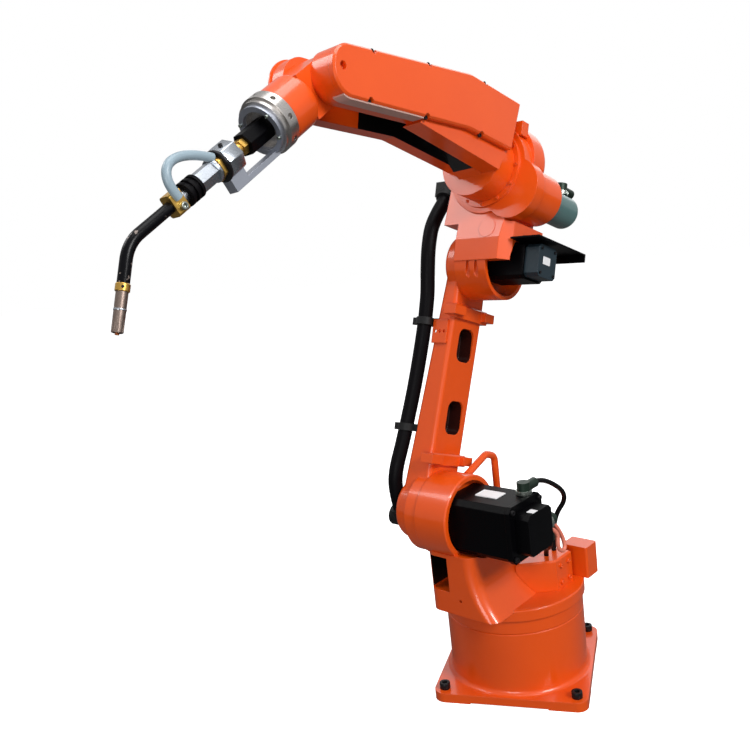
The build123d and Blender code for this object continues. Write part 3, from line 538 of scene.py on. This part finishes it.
# Thick hose rubber is black with a faint grey sheen. The moulded clips are a shade lighter.
hose_rubber = coat("black_hose_rubber", "050406", 0.46, tint="0A080B", edge=1.0, grain=6.0, shine=0.08)
umbilical = hose("umbilical_hose", lower_link, hose_route, hose_radius, hose_rubber)
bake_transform(umbilical)
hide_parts("hose_lower", "hose_upper")
clip_nylon = coat("black_moulded_nylon", "0F0F10", 0.5, tint="161617", edge=1.2, grain=1.5, shine=0.25)
dress(clip_nylon, "hose_clip_lower", "hose_clip_upper", "hose_fitting", "hose_gland")

# Elbow: one casting of the elbow drum, the roll barrel and the roll motor's barrel, in the robot's enamel.
# A ring of socket screws holds the roll gear in its front plate, and a thin cap closes the inspection hole.
elbow_link = link_frame(joint_place("elbow_lift"), joint_axis("forearm_roll"), side)
dress(enamel, "elbow_casting", "inspection_cap")
plate_front = 90
roll_height = 212
roll_screw_circle = 86
roll_screw_count = 12
roll_screws = [(plate_front, roll_screw_circle * cos(radians(360 / roll_screw_count * turn)),
                roll_height + roll_screw_circle * sin(radians(360 / roll_screw_count * turn)))
               for turn in range(roll_screw_count)]
fix_all(cap_screw(head=4, height=3, socket=2), "roll_screw", elbow_link, roll_screws, (1, 0, 0), "elbow",
        enamel)

# Elbow motor: a small servo motor in black paint with a slate cap, under a guard folded from sheet steel.
# Four screws hold the cap, which carries two blank white labels.
elbow_cap_end = 137
elbow_cap_half = 38
elbow_cap_screw_spread = 28
dress(motor_black, "elbow_motor", "motor_shield")
# Slate paint is a satin blue-grey.
slate = coat("slate_motor_paint", "1D2A31", 0.42, tint="24323A", grain=2.0, shine=0.3)
dress(slate, "elbow_encoder")
label("cap_label", elbow_link, (4, elbow_cap_end, 2), (30, 18), (0, 1, 0), "elbow")
label("cap_top_label", elbow_link, (8, 120, elbow_cap_half), (34, 20), (0, 0, 1), "elbow")
cap_screws = [(x * elbow_cap_screw_spread, elbow_cap_end, z * elbow_cap_screw_spread)
              for x in (-1, 1) for z in (-1, 1)]
fix_all(cap_screw(head=3.5, height=3, socket=2), "cap_screw", elbow_link, cap_screws, (0, 1, 0), "elbow",
        black_oxide)

# Roll motor: a round servo motor with a sea-green cap behind its barrel, and its plug on top.
# The plug has the same olive shell and bright ring as the shoulder's.
roll_plug = (-130, 74, 200)
# Sea-green motor paint has a light gloss.
sea_green = coat("sea_green_motor_paint", "4E6C6B", 0.3, tint="587675", grain=2.0, gloss=0.3)
dress(sea_green, "roll_motor")
dress(olive, "roll_connector")
fix_one(coupling_ring(), "roll_plug_ring", elbow_link, roll_plug, (0, 0, 1), "elbow", bright_ring)

# Forearm: a cranked fork casting, closed on the near side by a long belt cover with a pale seal under it.
# Screws sit in notches along the cover's edges. All but the seal wears the enamel.
# The fork's channel gets painted black shade on all but its upward faces.
forearm_link = link_frame(joint_place("forearm_roll"), joint_axis("forearm_roll"), -joint_axis("wrist_pitch"))
forearm_length = (joint_place("wrist_pitch") - joint_place("forearm_roll")).length / mm
dress(enamel, "belt_cover", "far_cap")
channel_length = (172, 0.77 * forearm_length)
channel_width = (-30.5, 35.5)
any_height = (-forearm_length, forearm_length)
channel = (channel_length, channel_width, any_height)
# Painted black shade inside the fork's channel.
dress(enamel_with_painted_shade("orange_enamel_painted_shade_fork", forearm_link, [channel], painted_shade_black, below=0.3),
      "forearm_casting")
# Seal rubber is a matt, dusty pink.
seal = coat("pale_seal_rubber", "C9A79C", 0.6, tint="B9948A", edge=0.8, grain=2.0)
dress(seal, "cover_gasket")
notch_floor = 84
knee = 0.44 * forearm_length
tip = forearm_length
upper_edge = ((knee, 132), (tip, 47.5), (92, 134))
lower_edge = ((knee, 12), (tip, -47.5), (122, 15))
front_screw = 0.85
middle_screw = 0.39
back_screw = 0.28


def on_edge(start, end, share):
    return (start[0] + (end[0] - start[0]) * share, notch_floor, start[1] + (end[1] - start[1]) * share)


cover_screws = []
for knee_point, tip_point, back_point in (upper_edge, lower_edge):
    cover_screws += [on_edge(knee_point, tip_point, front_screw),
                     on_edge(knee_point, tip_point, middle_screw),
                     on_edge(knee_point, back_point, back_screw)]
# The screws' black also stands in for the shade in their notches.
fix_all(cap_screw(head=4.5, height=5, socket=2.4), "cover_screw", forearm_link, cover_screws, (0, 1, 0),
        "forearm", black_oxide)

# Wrist: a short round casting that tilts between the fork's sides on two bearings.
# It wears the robot's enamel.
wrist_link = link_frame(joint_place("wrist_pitch"), joint_axis("tool_turn"), -joint_axis("wrist_pitch"))
dress(enamel, "wrist_casting")

# Tool flange: a turned aluminium flange with blind holes round its rim, and the torch's ring bolted to it.
# The torch's bracket is cast in aluminium and brushed.
plate_face = 184
plate_screw_circle = 41
# Fine turning marks leave the flange bright but not mirror-like. Brushed castings are duller and bluish.
alloy = coat("turned_aluminium", "CFCCC9", 0.28, tint="B7B2AE", metallic=1.0, edge=0.8, grain=1.0)
dress(alloy, "tool_flange")
cast_alloy = coat("brushed_cast_aluminium", "B9BDC8", 0.36, tint="A5AAB6", metallic=0.9, edge=1.2, grain=2.0)
dress(cast_alloy, "torch_plate", "torch_bracket")
plate_screws = [(plate_face, plate_screw_circle * cos(radians(turn)), plate_screw_circle * sin(radians(turn)))
                for turn in (30, 150, 210, 330)]
fix_all(cap_screw(head=3.5, height=4, socket=2), "plate_screw", wrist_link, plate_screws, (1, 0, 0), "tool",
        bright_ring)

# Torch: a black insulated body with brass nipples, a clamp ring, a plated barrel and a ribbed rubber collar.
# An eight-sided plated sleeve, a black rim, a brass nut and a washer lie round the clamp ring.
# A screw closes the ring, and the rest is threaded together.
ring_back = 268
ring_front = 306
ring_length = ring_front - ring_back
ring_radius = 28
sleeve_sides = 8
half_facet = radians(180 / sleeve_sides)
sleeve_corner = ring_radius / cos(half_facet) + 0.3
dress(motor_black, "torch_body")
# Turned brass is a warm, bright yellow, and plated steel a cool, bright grey.
brass = coat("turned_brass", "DDB35F", 0.32, tint="C79A47", metallic=1.0, edge=0.8, grain=1.0)
dress(brass, "torch_nuts", "neck_clamp", "nozzle_collar")
dress(cast_alloy, "clamp_ring")
steel = coat("plated_steel", "BFC4CB", 0.26, tint="A9AFB7", metallic=1.0, edge=0.8, grain=1.0)
dress(steel, "torch_barrel")
dress(hose_rubber, "barrel_collar")


def collar(name, x, radius, length, material, sides=40):
    """Turned or many-sided collar round the torch, with broken edges."""
    broken_edge = 1.2
    piece = disc(radius, length, sides)
    ease(piece, broken_edge)
    fix_one(piece, name, wrist_link, (x, 0, 0), (1, 0, 0), "tool", material)


collar("clamp_sleeve", ring_back - 1, radius=sleeve_corner, length=ring_length - 3, material=steel,
       sides=sleeve_sides)
collar("clamp_rim", ring_front - 4, radius=ring_radius + 1.6, length=5, material=black_oxide)
collar("clamp_nut", ring_front + 1, radius=24, length=9, material=brass, sides=6)
collar("clamp_washer", ring_front + 10, radius=21.5, length=6, material=steel)
facet = Vector((0, sin(half_facet), cos(half_facet)))
ring_middle = Vector((ring_back + ring_length / 2, 0, 0))
fix_one(cap_screw(head=4, height=4, socket=2.2), "ring_screw", wrist_link, ring_middle + facet * ring_radius,
        facet, "tool", black_oxide)

# Gas hose: a short arch of grey-blue hose wrapped in tape, from the clamp ring to the neck clamp.
# Both ends are pushed on, so it keeps its arch, and a bright screw closes the neck clamp.
gas_hose_radius = 8
gas_route = [(312, 8, 19), (344, 8, 46), (398, 14, 62), (424, 16, 36), (417, 14, 6)]
clamp_screw_place = (419, 13, -8)
# Wrapped tape makes the hose a pale grey-blue with a lumpy sheen.
gas_rubber = coat("grey_blue_gas_hose", "9DB0BA", 0.34, tint="8598A4", edge=0.6, grain=9.0, relief=0.35)
gas_hose = hose("gas_hose_arch", wrist_link, gas_route, gas_hose_radius, gas_rubber)
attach(gas_hose, "tool")
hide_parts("gas_hose")
fix_one(cap_screw(head=6.5, height=8, socket=3.4), "clamp_screw", wrist_link, clamp_screw_place, (0, 1, 0),
        "tool", bright_ring)

# Swan neck: a bent tube in a scuffed, glossy black sleeve, with a brass collar and a plated nozzle.
# The collar has a dark hole in its side, and a bright band and a ribbed sleeve lie round the nozzle.
# The contact tip inside is copper.
neck_corner = Vector((532, 0, 0))
neck_turn = radians(40.7)
neck_tail = 63
collar_length = 13
collar_radius = 10.9
hole_out = Vector((0.33, 0.87, 0.38))
band_along = 26
sleeve_along = 40
# Heat-shrunk sleeve is a glossy black, rubbed grey in small spots.
neck_sleeve = coat("glossy_black_sleeve", "030307", 0.3, tint="060609", edge=0.5, grain=8.0, gloss=0.03,
                   shine=0.12)


def scuff(material):
    """Rubs a few small bare spots into a sleeve."""
    spot_size = 11
    spot_edge = 0.66
    spot_full = 0.7
    tree = material.node_tree
    place = add(tree, "ShaderNodeTexCoord").outputs["Object"]
    spots = add(tree, "ShaderNodeTexNoise", {"Vector": place, "Scale": 1 / (spot_size * mm), "Detail": 4.0})
    bare = add(tree, "ShaderNodeMapRange", {"Value": spots.outputs["Fac"], "From Min": spot_edge,
                                            "From Max": spot_full})
    recolour(material, bare.outputs["Result"], "8B7F78")


scuff(neck_sleeve)
dress(neck_sleeve, "gooseneck")
# Heat and spatter leave the nozzle a dull brownish grey. The drawn copper tip is a clear red-brown.
worn_steel = coat("heat_stained_nozzle", "93837A", 0.4, tint="7A6A62", metallic=1.0, edge=0.6, grain=1.5,
                  relief=0.15)
dress(worn_steel, "nozzle")
copper = coat("drawn_copper", "B56A42", 0.3, tint="A25B36", metallic=1.0, edge=0.3, grain=1.0)
dress(copper, "contact_tip")
neck_along = Vector((cos(neck_turn), 0, -sin(neck_turn)))
neck_end = neck_corner + neck_along * neck_tail
nozzle_start = neck_end + neck_along * collar_length
hole = disc(radius=2.4, height=1)
ease(hole, 0.2)
hole_place = neck_end + neck_along * collar_length / 2 + hole_out * collar_radius
fix_one(hole, "collar_hole", wrist_link, hole_place, hole_out, "tool", black_oxide)
band = disc(radius=10.1, height=3)
ease(band, 0.4)
band_place = nozzle_start + neck_along * band_along
fix_one(band, "nozzle_band", wrist_link, band_place, neck_along, "tool", steel)
sleeve = knurled_ring(radius=9.4, height=22, sides=28, depth=-0.5)
sleeve_place = nozzle_start + neck_along * sleeve_along
fix_one(sleeve, "nozzle_sleeve", wrist_link, sleeve_place, neck_along, "tool", worn_steel)
